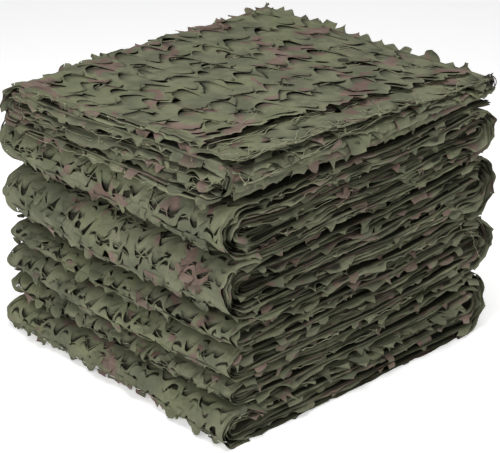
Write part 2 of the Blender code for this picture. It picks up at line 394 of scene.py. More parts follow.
def every_second(layer):
    """1 on every second layer, and 0 on the others."""
    return smooth(1.5 * np.cos(math.pi * layer) + 0.5)


def side_strip(section_at, s, seed, base, limp, nose_share, free):
    """The strip past a sheet's last column: from the edge's line it bends over and hangs, and most of
    it is cut in arcs. Gives how far each of its corners lies out, down, flared and curled, and how
    near the cut edge it is. Where base is a pair, every second layer has the long one. Round a nose it
    is nose_share of its length, and it runs out towards the cloth's free ends."""
    _, _, layer, ta, _ = section_at
    if np.ndim(base):
        leafy, spacing, depth = every_second(layer), (0.026, 0.056), (0.004, 0.015)
        base = mix(base[1], base[0], leafy)
    else:
        leafy = smooth(1.4 * value_noise(seed + 9, s / 0.16, 0.5) + 0.45)
        spacing, depth = (0.018, 0.050), (0.000, 0.0135)
    length = ragged(seed, s, base) + leafy * cusps(seed + 8, s, spacing, depth, 0.35)
    for to_end in (s - free[0], free[1] - s):
        length = length * mix(0.25, 1.0, smooth(to_end / 0.025))
    length = length * mix(1.0, nose_share, steepness(ta))
    level = np.abs(ta)  # 1 where the sheet lies level
    droop = (limp * (0.85 + 0.30 * value_noise(seed + 5, s / 0.035, 0.5)) * level ** 1.5)[:, None]
    t = np.linspace(0.0, 1.0, EDGE_STEPS + 1)[None, :]
    run = length[:, None] * t
    angle = droop * smooth(run / EDGE_BEND)
    mid = (angle[:, 1:] + angle[:, :-1]) / 2
    step = np.diff(run, axis=1)
    out = np.cumsum(np.cos(mid) * step, axis=1)
    down = np.cumsum(np.sin(mid) * step, axis=1)
    flare = (0.25 * value_noise(seed + 6, s / 0.03, 0.5) * (1.0 - level))[:, None] * run[:, 1:]
    curl = 0.10 * value_noise(seed + 7, s / 0.05, 0.5)[:, None] * run[:, 1:]
    near = np.broadcast_to(t[:, 1:], out.shape)
    return SimpleNamespace(out=out, down=down, flare=flare, curl=curl, near=near)


# ------------------------------------------------------------------ the leaf cuts
# A cut's bulge, row by row into its tongue, and row by row away from it.
INNER_SHARE = (1.0, 0.80, 0.55, 0.30, 0.12)
OUTER_SHARE = (1.0, 0.91, 0.82, 0.73, 0.64, 0.55, 0.46, 0.37, 0.28, 0.19, 0.11, 0.04)

# How leaves lie. tongue and brim: their height over the cloth. opens: how far a cut opens, and gapes:
# the share of cuts that open by GAPE more. stand: how stiffly a tongue stands off a fold. tints: the
# share of tongues that are brown, in arcs of either direction. flips: whether arcs of the second
# direction have tongue and brim the other way round. line: how dark a painted shade line along the
# upper edge is, which also takes that much off its paler rim. blunt: how blunt the arcs are, from
# angular to boxy.
Style = namedtuple("Style", "tongue brim opens gapes stand tints flips line blunt")
FLAT_STYLE = Style((-0.0026, 0.0000), (0.0000, 0.0022), (0.0004, 0.0030), 0.34, (0.0, 0.0),
                   (0.60, 0.40), True, 0.50, (1.8, 3.0))
SKIN_STYLE = Style((-0.0026, -0.0006), (0.0000, 0.0016), (0.0026, 0.0058), 0.55, (0.0, 0.25),
                   (0.18, 0.08), True, 0.90, (1.0, 3.2))
HANG_STYLE = Style((0.0000, 0.0030), (-0.0020, 0.0000), (0.0030, 0.0090), 0.60, (0.10, 0.60),
                   (0.13, 0.07), False, 0.60, (1.2, 3.0))
GAPE = (0.0030, 0.0080)
SMALL = 0.55  # the small cuts' size, of the large ones'
WILD_SHARE, WILD_HEIGHT = 0.12, 2.4  # some leaves stand that many times as high as the rest


def lattice(rng, rows, columns):
    """The cuts' directions, middles and sizes: arcs one way on one lattice, arcs the other way half a
    repeat on, and between them, here and there, small ones either way."""
    first_row, first_column = rng.integers(0, CELL_ROWS), rng.integers(0, CELL_COLUMNS)
    quarter, half = CELL_ROWS // 4, CELL_COLUMNS // 2
    found = []
    for kind, row_phase, column_phase, size in ((1, quarter, 0, 1.0), (-1, 3 * quarter, half, 0.8),
                                                (1, quarter, half, SMALL), (-1, 3 * quarter, 0, SMALL)):
        first_j = (column_phase - first_column) % CELL_COLUMNS - CELL_COLUMNS
        for i in range((row_phase - first_row) % CELL_ROWS, rows, CELL_ROWS):
            for j in range(first_j, columns + CELL_COLUMNS, CELL_COLUMNS):
                way = kind if size > SMALL or rng.random() < 0.5 else -kind
                if size > SMALL or rng.random() < 0.8:
                    found.append((way, i + rng.integers(-1, 2), j + rng.integers(-2, 3), size))
    return [cut for cut in found if 0 < cut[1] < rows - 1]


def cut_leaves(rng, sheets, s_line, leaf, styles, hanging_share, lean, bias):
    """Cuts every leaf of the lattice into a sheet. A cut follows an arc on a slanting chord, and about
    every second one runs on in a shallow wave. The rows next to it bulge with it. The row on the arc
    has two copies: one is the free edge of the tongue, drawn back and lifted or sunk, and the other is
    the edge of the opening. Whichever lies lower gets painted shade where the other would shade it, and
    the upper one a painted dark line along its edge, which is paler, partly as a painted highlight.
    bias is how far the arcs' crowns lean across the cloth."""
    rows, columns = sheets[0].s.shape
    calm_ends = smooth(np.minimum(np.arange(rows), np.arange(rows)[::-1]) / 6.0)
    torn = np.zeros((rows, columns), bool)
    cuts = []
    for kind, i, j, size in lattice(rng, rows, columns):
        draw = rng.random(13)
        half, end = ARC_HALF * size, TAIL * size
        style = styles[int(draw[8] < hanging_share[i])]
        tail = (0, 0, 0, 1, -1)[int(draw[0] * 5.0)]
        deep = leaf.depth * mix(0.70, 1.25, draw[1]) * size * (1.25 if kind > 0 else 0.75)
        gape = mix(*GAPE, draw[9]) if draw[6] < style.gapes else 0.0
        calm = min(1.0, (min(j, columns - 1 - j) + 1) / 10.0)
        opening = (mix(*style.opens, draw[2] ** 1.5) + gape) * size * calm
        wild = WILD_HEIGHT if draw[11] < WILD_SHARE and calm == 1.0 else 1.0
        sunk = mix(*style.tongue, draw[3]) * wild
        raised = mix(*style.brim, draw[4]) * wild
        if style.flips and kind < 0:
            sunk, raised = raised, 0.5 * sunk
        sunk, raised = sunk * calm, raised * calm
        stiff = mix(*style.stand, draw[5]) * calm
        tint = draw[7] < style.tints[kind < 0]
        reach = int(half + end)
        js = np.arange(max(j - reach, 0), min(j + reach, columns - 1) + 1)
        if not len(js):
            continue
        off = (js - j) / half
        blunt = mix(*style.blunt, draw[12])
        arc = np.clip(1.0 - np.abs(off) ** blunt, 0.0, 1.0) ** 0.55
        arc = arc * (1.0 + 0.9 * (draw[1] - 0.5) * off)
        past = np.clip((np.abs(off) - 1.0) * half / end, 0.0, 1.0)
        wave = np.sin(math.pi * past) * (off * tail > 0.0)
        chord = half * leaf.across / CELL_COLUMNS
        slant = (lean + 0.32 * (2.0 * draw[10] - 1.0)) * chord * np.clip(off, -1.0, 1.0)
        slant = slant * (1.0 - smooth(past))
        wide = arc + 0.18 * wave
        cut = (np.abs(off) < 1.0) | ((off * tail > 0.0) & (past < 1.0))
        torn[i, js[cut]] = True
        for k in range(-len(OUTER_SHARE) + 1, len(OUTER_SHARE)):
            at = i + k
            if not 0 <= at < rows:
                continue
            tongue_side = k * kind < 0
            shares = INNER_SHARE if tongue_side else OUTER_SHARE
            away = abs(k) / size
            share = float(np.interp(away, np.arange(len(shares) + 1), shares + (0.0,)))
            near = max(1.0 - away / 4.0, 0.0)
            for copy, sheet in enumerate(sheets):  # the first borders the rows before the cut
                tongue = tongue_side or (k == 0 and (copy == 0) == (kind == 1))
                sheet.s[at, js] += calm_ends[at] * kind * deep * share * (arc - 0.30 * wave)
                sheet.s[at, js] += slant * max(1.0 - away / 8.0, 0.0)
                sheet.v[at, js] += bias * calm * kind * size * share * arc
                lower = (sunk < raised) == tongue
                if tongue:
                    if tint:
                        browner = near ** 0.5 * np.minimum(1.0, 1.6 * arc)
                        sheet.tint[at, js] = np.maximum(sheet.tint[at, js], browner)
                    sheet.s[at, js] -= kind * opening * 0.6 * share ** 2 * wide
                    sheet.lift[at, js] += sunk * share ** 1.3 * wide
                    sheet.stand[at, js] = np.maximum(sheet.stand[at, js], stiff * arc ** 0.5 * (share > 0.0))
                    sheet.root[at, js] = s_line[i] + slant - kind * 0.5 * leaf.depth
                else:
                    sheet.s[at, js] += kind * opening * 0.4 * near ** 2 * wide
                    sheet.lift[at, js] += raised * near ** 1.5 * wide
                # painted shade along the cut: the lower copy is darkened in two rows, the upper one gets a
                # dark line and a paler rim that is partly a painted highlight
                if k == 0:
                    sheet.rim[at, js] = 0.0 if lower else 1.0 - style.line
                if k == 0 and not lower:
                    line = np.where(cut, style.line * np.minimum(1.0, 2.0 * wide), 0.0)
                    sheet.lit[at, js] = np.minimum(sheet.lit[at, js], 1.0 - line)
                if lower and abs(k) < 2:
                    shade = np.where(cut, (0.97, 0.50)[abs(k)] * np.minimum(1.0, 2.0 * wide), 0.0)
                    sheet.lit[at, js] = np.minimum(sheet.lit[at, js], 1.0 - shade)
        if size > SMALL:
            middle_v = sheets[0].v[0, 0] + j * leaf.across / CELL_COLUMNS
            cuts.append((s_line[i] + kind * 0.6 * deep, middle_v))
    return torn, cuts


# ------------------------------------------------------------------ one stretch of cloth
def gaussian_creases(creases, x, y):
    """Ridges and troughs along straight lines: x and y of both ends, half width, height."""
    total = np.zeros_like(x)
    for x0, y0, x1, y1, half, height in creases:
        length = math.hypot(x1 - x0, y1 - y0)
        ux, uy = (x1 - x0) / length, (y1 - y0) / length
        run = (x - x0) * ux + (y - y0) * uy
        side = (x - x0) * uy - (y - y0) * ux + 0.004 * np.sin(run / 0.030)
        total += height * np.exp(-(side / half) ** 2) * smooth(run / 0.03) * smooth((length - run) / 0.03)
    return total


def net_grid(net, leaf, is_backing):
    """The pitch of a stretch's rows, and its columns across the cloth from -1 to 1. Plain layers have
    theirs close together only where they show, along both edges."""
    if leaf:
        steps = int(round(2.0 * net.half / (leaf.across / CELL_COLUMNS)))
        return leaf.along / CELL_ROWS, np.linspace(-1.0, 1.0, steps + 1)
    if is_backing:
        return 0.008, np.linspace(-1.0, 1.0, 61)
    steps = np.array([0.0, 0.0025, 0.0055, 0.016, 0.070, 0.150]) / net.half
    return 0.0048, np.concatenate([-1.0 + steps, [0.0], (1.0 - steps)[::-1]])


def cloth(name, net, first, last, seed, base=0.0045, limp=1.15, leaf=None, styles=(FLAT_STYLE, FLAT_STYLE),
          falling=0.0, lean=0.0, bias=0.0, skew=0.0, facing=1.0, wrinkle=0.0012, creases=(), hem=False,
          sunk=0.0, glow=1.0):
    """One stretch of the net's cloth, from length first to last along its section: rows along the
    cloth, columns across it, and the ragged strips past both sides, base long and limp. leaf and
    styles are its cuts, which slant by lean and lean across by bias. falling is 1 where the cloth
    comes down along its length, and -1 where it rises: the leaves of its lower half hang. skew is how
    much farther in its first end starts on the left, and hem says that this end is free and hangs
    ragged. facing is the side that shows. sunk is how far a backing lies inside the cloth in front of
    it, and glow how much light it gets."""
    section, half = net.section, net.half
    row, columns = net_grid(net, leaf, sunk > 0.0)
    rows, count = max(int(round((last - first) / row)), 2) + 1, len(columns)
    s_line, v_line = np.linspace(first, last, rows), columns * half
    S, V = np.meshgrid(s_line, v_line, indexing="ij")
    blank = np.zeros_like(S)
    sheets = [SimpleNamespace(s=S.copy(), v=V.copy(), lift=blank.copy(), stand=blank.copy(), root=S.copy(),
                              rim=blank.copy(), tint=blank - 0.3 * abs(falling), lit=blank + 1.0)
              for _ in range(2)]
    torn, cuts = np.zeros(S.shape, bool), []
    if leaf:
        down = 0.5 + falling * ((s_line - first) / (last - first) - 0.5)
        hanging_share = smooth((down - 0.30) / 0.24) * abs(falling)
        torn, cuts = cut_leaves(np.random.default_rng(seed), sheets, s_line, leaf, styles, hanging_share,
                                lean, bias)

    def surface(sheet):
        """Where the corners of one copy of the cloth lie, and their marks."""
        s, v = sheet.s, sheet.v
        if leaf:
            ends = smooth(np.minimum(s - first, last - s) / 0.03)
            sides = smooth((half - np.abs(v)) / 0.03)
            warp = 0.009 * value_noise(seed + 11, s / 0.09 + 7.0, v / 0.09 + 7.0) * ends
            v = v + 0.009 * value_noise(seed + 12, s / 0.09 + 7.0, v / 0.09 + 7.0) * sides
            s = s + warp + skew * (0.5 - 0.5 * v / half) * smooth(1.0 - (s - first) / 0.2)
        along, height, layer, ta, th = on_section(section, s)
        if leaf:  # a tongue that stands off runs on straight from its root
            weight = np.clip(sheet.stand, 0.0, 1.0)
            root = np.where(weight > 0.0, sheet.root, s)
            a0, h0, _, ta0, th0 = on_section(section, root)
            along = mix(along, a0 + ta0 * (s - root), weight)
            height = mix(height, h0 + th0 * (s - root), weight)
            ta, th = mix(ta, ta0, weight), mix(th, th0, weight)
        crease = value_noise(seed + 13, s / 0.034, v / 0.045)
        crease = wrinkle * (crease + 0.5 * value_noise(seed + 14, s / 0.015, v / 0.02))
        raised = (sheet.lift + crease - sunk) * facing
        along, height = along - th * raised, height + ta * raised
        co = net.place(along, v / half, height, layer)
        if creases:
            co[..., 2] += gaussian_creases(creases, co[..., 0], co[..., 1])
        # lit is painted light: a backing's is cut down by glow, as painted shade, and a plain layer gets
        # painted shade inside. A backing's tint is the cloth's own brown.
        lit, tint = sheet.lit, sheet.tint
        if sunk:
            tint, lit = tint + BACKING_TINT, lit * glow
        elif not leaf:  # painted shade inside, less of it at the layer's edge and round the noses of its folds
            steep = steepness(ta)
            inside = (half - np.abs(V) - 0.0015 * steep) / mix(0.0065, 0.0038, steep)
            lit = 1.0 - 0.97 * smooth(inside) + 0.18 * smooth((np.abs(along) - net.nose) / 0.02)
        return SimpleNamespace(co=co, s=s, v=v, rim=sheet.rim, tint=tint, lit=np.minimum(lit, 1.0),
                               section_at=(along, height, layer, ta, th))

    def strip_beside(under, side):
        """The ragged strip past one side of the cloth, and its marks."""
        column = 0 if side < 0 else count - 1
        at = tuple(field[:, column] for field in under.section_at)
        nose_share = np.where(at[0] < 0.0, 0.45, 1.1) if leaf and side < 0 else 1.1
        free = (first if hem else -1.0, section.length)
        strip = side_strip(at, s_line, seed + 31 * (side + 2), base, limp, nose_share, free)
        along, height, layer, ta, th = (field[:, None] for field in at)
        across = (v_line[column] + side * strip.out) / half
        co = net.place(along + strip.curl - th * strip.flare, across, height + ta * strip.flare, layer)
        co[..., 2] -= strip.down
        # The strip's lit mark is painted light: its brightness varies at random along the edge, every second
        # layer, which lies further in, is given deep painted shade, and each strip gets painted shade towards
        # its root.
        uneven = np.clip(0.80 + 0.45 * value_noise(seed + side + 90, s_line / 0.05, 0.5), 0.4, 1.0)[:, None]
        deep_low, rise = 0.30, 1.6  # how much painted light a layer's edge keeps at its root, and how soon it gets more
        if np.ndim(base):
            uneven = uneven * mix(0.12, 0.84, every_second(layer))
            deep_low, rise = 0.08, 1.3
        steep = steepness(ta)
        # patches of painted shade near the root, as dark as an opening, where the cloth has none
        painted_shade_patch = smooth(3.0 * value_noise(seed + side + 120, s_line / 0.020, 0.5) - 0.5)[:, None]
        painted_shade_patch = 0.6 * painted_shade_patch * (1.0 - steep)
        low = mix(mix(deep_low, 0.80, steep), 0.03, smooth(4.0 * painted_shade_patch))
        rooted = 1.0 if leaf else mix(low, 1.0, smooth(rise * (strip.near - painted_shade_patch) / (1.0 - painted_shade_patch)))
        v = v_line[column] + side * (strip.out + strip.down)
        ones = np.ones_like(v)
        return SimpleNamespace(co=co, s=s_line[:, None] * ones, v=v, rim=smooth(strip.near * 2.0 - 1.0),
                               lit=uneven * rooted * ones, tint=0.0 * ones)

    under, over = (surface(sheet) for sheet in sheets)
    left, right = strip_beside(under, -1), strip_beside(under, 1)
    fields = {key: np.concatenate([getattr(left, key)[:, ::-1], getattr(under, key), getattr(right, key)], 1)
              for key in ("co", "s", "v", "rim", "lit", "tint")}
    torn = np.pad(torn, ((0, 0), (EDGE_STEPS, EDGE_STEPS)))
    if hem:
        fields, torn = add_hem(fields, torn, seed + 71)
    height, width = torn.shape
    low = np.arange(height * width).reshape(height, width)
    high = low.copy()
    high[torn] = height * width + np.arange(torn.sum())
    faces = np.stack([high[:-1, :-1], high[:-1, 1:], low[1:, 1:], low[1:, :-1]], -1).reshape(-1, 4)
    if facing > 0:
        faces = faces[:, ::-1]
    start = EDGE_STEPS if hem else 0
    inner = torn[start:start + rows, EDGE_STEPS:EDGE_STEPS + count]

    def both(key):
        """A mark of every corner, and of the second copy of each torn one."""
        flat = fields[key].reshape(height * width, -1)
        return np.concatenate([flat, getattr(over, key)[inner].reshape(-1, flat.shape[1])])

    uv = np.concatenate([both("s") + net.flat_start, both("v")], 1)
    piece = cloth_mesh(name, both("co"), faces, uv, both("rim"), both("lit"), both("tint"))
    last - first
    return SimpleNamespace(piece=piece, cuts=cuts, net=net, facing=facing, first=first, last=last)


def add_hem(fields, torn, seed):
    """Rows past the cloth's free first end, that run on straight, bend over and hang ragged."""
    co, v = fields["co"], fields["v"][0]
    run_on = unit((co[0] - co[2]).mean(0))
    length = ragged(seed, v, 0.006) + cusps(seed + 9, v, (0.022, 0.060), (0.002, 0.014))
    t = np.linspace(1.0, 0.0, EDGE_STEPS + 1)[:-1, None]
    run = length[None, :] * t
    angle = 0.45 * (0.8 + 0.9 * value_noise(seed + 5, v / 0.05, 0.5))[None, :] * smooth(run / 0.012)
    out, down = run * np.cos(angle * 0.5), run * np.sin(angle * 0.5)
    new = {
        "co": co[0][None] + out[..., None] * run_on - down[..., None] * np.array([0.0, 0.0, 1.0]),
        "s": fields["s"][0][None] - run,
        "v": np.broadcast_to(v, run.shape),
        "rim": np.broadcast_to(smooth(t * 2.0 - 1.0), run.shape),
        "lit": np.ones_like(run),
        "tint": np.zeros_like(run),
    }
    fields = {key: np.concatenate([new[key], fields[key]]) for key in fields}
    return fields, np.pad(torn, ((EDGE_STEPS, 0), (0, 0)))


def backing(name, net, first, last, seed, facing, depth, glow):
    """Leaf cloth behind leaf cloth, browner: what shows through the cuts, darkened by glow as painted shade.
    """
    cloth(name, net, first, last, seed, base=0.003, facing=facing, wrinkle=0.0015, sunk=depth, glow=glow)


def eye_loops(name, net):
    """Two more layers inside the eye of every innermost fold: the eye's own outline drawn in towards
    its middle, once and again, by a share of its height and some way back from the fold."""
    v = (net_grid(net, None, False)[1] * (net.half - 0.002))[None, :]
    points, made = 40, []
    for fold in net.section.stretches:
        if fold.kind == "fold" and fold.where[2]:
            s = np.linspace(fold.first - 0.05, fold.last + 0.05, points)[:, None]
            along, height, layer, _, _ = on_section(net.section, s)
            middle = (height + height[::-1]) / 2
            for share in (0.60, 0.24):
                back = fold.where[0] * (1.0 - share) * 0.016
                here = along - back + 0.003 * value_noise(int(fold.layer) + 200, v / 0.06, share)
                co = net.place(here, v / net.half, middle + share * (height - middle), layer)
                uv = np.stack(np.broadcast_arrays(s + share, v), -1)
                # painted shade over the loops, all but their ends near the layers' edges
                made.append((co, uv, 0.85 - 0.8 * smooth((net.half - np.abs(v)) / 0.012) + 0.0 * s))
    co, uv, lit = (np.concatenate(part) for part in zip(*made))
    cloth_mesh(name, co, grid_faces(points, v.size, len(made)), uv, 0.0 * lit, lit)


def hem_ribbons(name, net, side, seed, under, skins):
    """The net's doubled selvedge: a narrow ribbon beside the edge of every layer, that comes and goes.
    It starts inside the edge, a little under or over its layer, and its reach is a wave that fades in
    and out. It leaves out the leafy skins."""
    rows, inset = int(net.section.length / 0.008), 0.008
    s = np.linspace(0.0, net.section.length, rows + 1)
    level = on_section(net.section, s)[3][:, None]
    shown = 1.2 * value_noise(seed, s / 0.11, 0.5) + 0.15
    reach = ragged(seed + 3, s, 0.0048) * np.clip(shown, -0.8, 1.25)
    t = np.linspace(0.0, 1.0, 5)[None, :]
    run = -inset + (inset + reach[:, None]) * t
    below = (under + 0.0011 * value_noise(seed + 4, s / 0.06, 0.5))[:, None] * level
    v = side * (net.half + run)
    co = on_cloth(net, s[:, None], v, out=-below)
    co[..., 2] -= 0.55 * np.clip(run, 0.0, None) * np.abs(level)
    uv = np.stack(np.broadcast_arrays(s[:, None] + 0.31 + net.flat_start, v), -1)
    leafy = np.zeros(rows, bool)
    for first, last in skins:
        leafy |= (s[1:] > first) & (s[:-1] < last)
    faces = grid_faces(rows + 1, 5)[~np.repeat(leafy, 4)]
    # painted shade on the part of each ribbon inside the layer's edge; its outer half is paler, partly as a
    # painted highlight
    cloth_mesh(name, co, faces, uv, smooth(t * 2.0 - 1.0) + 0.0 * v, smooth((run + 0.0035) / 0.0045))


# ------------------------------------------------------------------ loose leaf tips
TIP_ACROSS, TIP_ALONG = 6, 6
TIP_KINDS = ("square", "round", "pointed", "thorn")


def tip_outline(kind, b):
    """Half the width of a leaf tip of each of TIP_KINDS, from its root, b = 0, to its end: nearly
    straight sides, a half round, straight to a point, or drawn in to a point."""
    outlines = np.stack([
        1.0 - 0.22 * b,
        np.sqrt(np.clip(1.0 - b ** 2.2, 0.0, 1.0)),
        1.0 - 0.95 * b,
        (1.0 - b) ** 1.7 * 0.95 + 0.03,
    ])
    return np.maximum(np.take_along_axis(outlines, kind[None, :, None, None], 0)[0], 0.05)


def tip_kinds(rng, n, *odds):
    return rng.choice(len(TIP_KINDS), n, p=odds)


def leaf_tips(name, rng, root, ways, sizes, lengths, kind, turn, lean, curl, flat, brown):
    """Loose ends of leaves, each a small sheet. ways are the line that it grows from, the way it
    starts at its root, and the way it bends towards through the angles turn. sizes, lengths and curl
    are ranges, lean how far an end may lie to either side, and brown the share of brown ones. The
    other arrays have one row a tip."""
    edge, out, down = (way[:, None, None, :] for way in ways)
    n = len(root)
    width, size = pick(rng, n, *sizes)[:, None, None], pick(rng, n, *lengths)[:, None, None]
    lean, curl = pick(rng, n, -lean, lean)[:, None, None], pick(rng, n, *curl)[:, None, None]
    tint = (rng.random(n) < brown)[:, None, None] * 1.0
    a = np.linspace(-1.0, 1.0, TIP_ACROSS + 1)[None, None, :]
    b = np.linspace(0.0, 1.0, TIP_ALONG + 1)[None, :, None]
    half = width / 2
    outline = tip_outline(kind, np.broadcast_to(b, (n, TIP_ALONG + 1, 1)))
    angle = mix(turn[:, 0, None, None], turn[:, 1, None, None], smooth(b * 1.3))
    mid = (angle[:, 1:] + angle[:, :-1]) / 2
    step = size / TIP_ALONG
    zero = np.zeros((n, 1, 1))
    x_out = np.concatenate([zero, np.cumsum(np.cos(mid) * step, 1)], 1)
    x_down = np.concatenate([zero, np.cumsum(np.sin(mid) * step, 1)], 1)
    bow = curl * half * (a ** 2 - 0.4) * b
    x_out = x_out - np.sin(angle) * bow
    x_down = x_down + np.cos(angle) * bow
    x_edge = half * outline * a + lean * size * b ** 1.2
    co = root[:, None, None, :] + x_edge[..., None] * edge + x_out[..., None] * out + x_down[..., None] * down
    uv = np.stack([flat[:, 0, None, None] + x_edge, flat[:, 1, None, None] + b * size + 0.0 * a], -1)
    full = np.ones_like(x_edge)
    # painted light: each tip a random share darker, and its end paler, partly as a painted highlight
    lit = full * np.random.default_rng(n).uniform(0.75, 1.0, n)[:, None, None]
    cloth_mesh(name, co, grid_faces(TIP_ALONG + 1, TIP_ACROSS + 1, n), uv,
               full * smooth(b * 2.5 - 1.5) * 0.8, lit, tint)


def flounces(name, net, fold, rows, spacing, depth, shown):
    """Cut edges of leaf cloth that lie across a fold: each starts on the fold's skin, runs on
    straight where the skin curves away, and ends in arcs and points. rows holds, for each, its
    height down the fold, its seed, its least reach, its tilt outwards and how much painted light it
    gets. shown is how little of them is left out."""
    v = np.linspace(-net.half, net.half, int(2.0 * net.half / 0.0032))
    t = np.linspace(0.0, 1.0, 8)[:, None]
    made = []
    for share, seed, base, tilt, light in rows:
        reach = base * (1.0 + 0.35 * value_noise(seed, v / 0.03, 0.5)) + cusps(seed + 1, v, spacing, depth)
        reach = reach * smooth((net.half - 0.002 - np.abs(v)) / 0.025)
        reach = reach * smooth(0.5 + shown + 1.6 * value_noise(seed + 4, v / 0.05, 0.5))
        root = down_fold(fold, share) + 0.007 * value_noise(seed + 2, v / 0.07, 0.5)
        out = np.clip(tilt * (0.55 + 0.9 * value_noise(seed + 3, v / 0.033, 0.5)), -0.15, 1.2)
        run = reach * t
        lift = 0.0008 + run * np.sin(out) * (0.4 + 0.6 * t) - 0.10 * run * t
        co = on_cloth(net, root, v, out=lift * fold.facing, ahead=run * np.cos(out) * fold.falling)
        uv = np.stack(np.broadcast_arrays(root + run + 0.17 * seed % 7.0, v), -1)
        # painted shade, deepest at each flounce's root, under the one above it; the cut end is paler, partly
        # as a painted highlight
        lit = light * mix(0.2, 1.0, smooth(2.0 * t - 0.5)) + 0.0 * run
        made.append((co, uv, smooth(t * 3.0 - 2.0) + 0.0 * run, lit))
    co, uv, rim, lit = (np.concatenate(part) for part in zip(*made))
    cloth_mesh(name, co, grid_faces(8, len(v), len(rows)), uv, rim, lit)


def side_tips(name, net, side, spacing, seed, sizes, lengths):
    """Leaf tips that hang from the layers' edges on one side."""
    rng = np.random.default_rng(seed)
    n = int(net.section.length / spacing)
    s = (np.arange(n) + rng.random(n)) * spacing
    s = s[(s > 0.02) & (s < net.section.length - 0.02)]
    root, edge = side_point(net, s, side)
    level = np.abs(edge[:, 2]) < 0.5
    root, edge, s = root[level], edge[level], s[level]
    n = len(s)
    outward = np.tile(side * net.sideways, (n, 1))
    root = root + outward * pick(rng, n, -0.006, 0.001)[:, None]
    down = np.tile([0.0, 0.0, -1.0], (n, 1))
    kind = tip_kinds(rng, n, 0.24, 0.38, 0.30, 0.08)
    turn = np.stack([pick(rng, n, -0.1, 0.5), pick(rng, n, 1.30, 1.75)], 1)
    flat = np.stack([s, np.full(n, 0.30 * side)], 1)
    leaf_tips(name, rng, root, (edge, outward, down), sizes, lengths, kind, turn, 0.8, (-0.3, 0.5), flat,
              0.50)


def skin_tips(name, net, s, v, facing, falling, seed, sizes, lengths, rise, clear=0.0015):
    """Leaf tips that stand off a fold's outside, from points s, v of the cloth, by angles in the range
    rise. falling is 1 where they point along the cloth, and -1 where they point back along it. clear
    is how far out their roots lie."""
    rng = np.random.default_rng(seed)
    n, tiny = len(s), 0.003
    root = on_cloth(net, s, v)
    forward = falling * unit(on_cloth(net, s, v, ahead=tiny) - root)
    outward = unit(on_cloth(net, s, v, out=facing * tiny) - root)
    edge = unit(on_cloth(net, s, v + tiny) - root)
    kind = tip_kinds(rng, n, 0.10, 0.34, 0.26, 0.30)
    start = pick(rng, n, *rise)
    turn = np.stack([start, start - pick(rng, n, 0.0, 0.9)], 1)
    flat = np.stack([s + net.flat_start, v], 1)
    leaf_tips(name, rng, root + outward * clear, (edge, forward, outward), sizes, lengths, kind, turn, 0.5,
              (-0.2, 0.6), flat, 0.15)


def rim_tips(name, net, s, side, seed, sizes, lengths, rise, shift=(0.0, 0.0)):
    """Leaf tips along a sheet's side edge, that stand up and outwards by angles in the range rise.
    shift moves their roots outwards and up."""
    rng = np.random.default_rng(seed)
    n = len(s)
    root, edge = side_point(net, s, side, inset=0.004)
    outward = np.tile(side * net.sideways, (n, 1))
    up = np.tile([0.0, 0.0, 1.0], (n, 1))
    root = root + shift[0] * outward + shift[1] * up
    start = pick(rng, n, *rise)
    turn = np.stack([start, start + pick(rng, n, -0.2, 0.5)], 1)
    kind = tip_kinds(rng, n, 0.20, 0.15, 0.50, 0.15)
    flat = np.stack([s, np.full(n, 0.30 * side)], 1)
    leaf_tips(name, rng, root, (edge, outward, up), sizes, lengths, kind, turn, 0.5, (-0.2, 0.6), flat, 0.15)


# ------------------------------------------------------------------ strings
STRING_SIDES = 4


def strings(name, paths, radius, finish=None):
    """Round strings along paths, an array of paths by points by 3, all with as many points: round
    each point, a ring square to the path. radius may differ from string to string."""
    paths = np.asarray(paths, float)
    n, points, _ = paths.shape
    along = unit(np.gradient(paths, axis=1))
    first = unit(np.cross(along, [0.31, 0.17, 0.94]))
    second = np.cross(along, first)
    angle = np.linspace(0.0, 2.0 * math.pi, STRING_SIDES + 1)
    radius = np.broadcast_to(np.reshape(radius, (-1, 1, 1, 1)), (n, 1, 1, 1))
    taper = np.ones(points)
    taper[0] = taper[-1] = 0.05
    ring = np.cos(angle)[:, None] * first[:, :, None, :] + np.sin(angle)[:, None] * second[:, :, None, :]
    co = paths[:, :, None, :] + radius * taper[None, :, None, None] * ring
    steps = np.linalg.norm(np.diff(paths, axis=1), axis=2)
    length = np.concatenate([np.zeros((n, 1)), np.cumsum(steps, 1)], 1)
    u = np.broadcast_to(length[:, :, None], co.shape[:3]) + np.arange(n)[:, None, None] * 0.37
    uv = np.stack(np.broadcast_arrays(u, angle * 0.002), -1)
    faces = grid_faces(points, STRING_SIDES + 1, n)
    return new_mesh(name, co, faces, uv, finish or TWINE, "border_twine")


def knotted(name, paths, knots, along, half, radii):
    """Strings along paths, and at each knot a short thick lump that reaches half its length along and
    back. radii are the strings' and the lumps'."""
    steps = np.linspace(-half, half, paths[0].shape[1])[None, :, None]
    lumps = knots[:, None, :] + steps * along
    radius = np.repeat(radii, (sum(len(path) for path in paths), len(lumps)))
    return strings(name, np.concatenate(paths + [lumps]), radius)


def hanging(a, b, sag, wobble, seed, points=13):
    """Paths from points a to points b that sag in the middle and wander a little."""
    t = np.linspace(0.0, 1.0, points)[None, :, None]
    path = mix(a[:, None, :], b[:, None, :], t)
    path[..., 2] -= np.reshape(sag, (-1, 1)) * 4.0 * (t * (1.0 - t))[..., 0]
    rng = np.random.default_rng(seed)
    phase = rng.uniform(0.0, 6.28, (len(a), 1, 3))
    rate = rng.uniform(3.0, 8.0, (len(a), 1, 3))
    wander = np.sin(rate * t * math.pi + phase)
    return path + wobble * wander * smooth(t * 6.0) * smooth((1.0 - t) * 6.0)


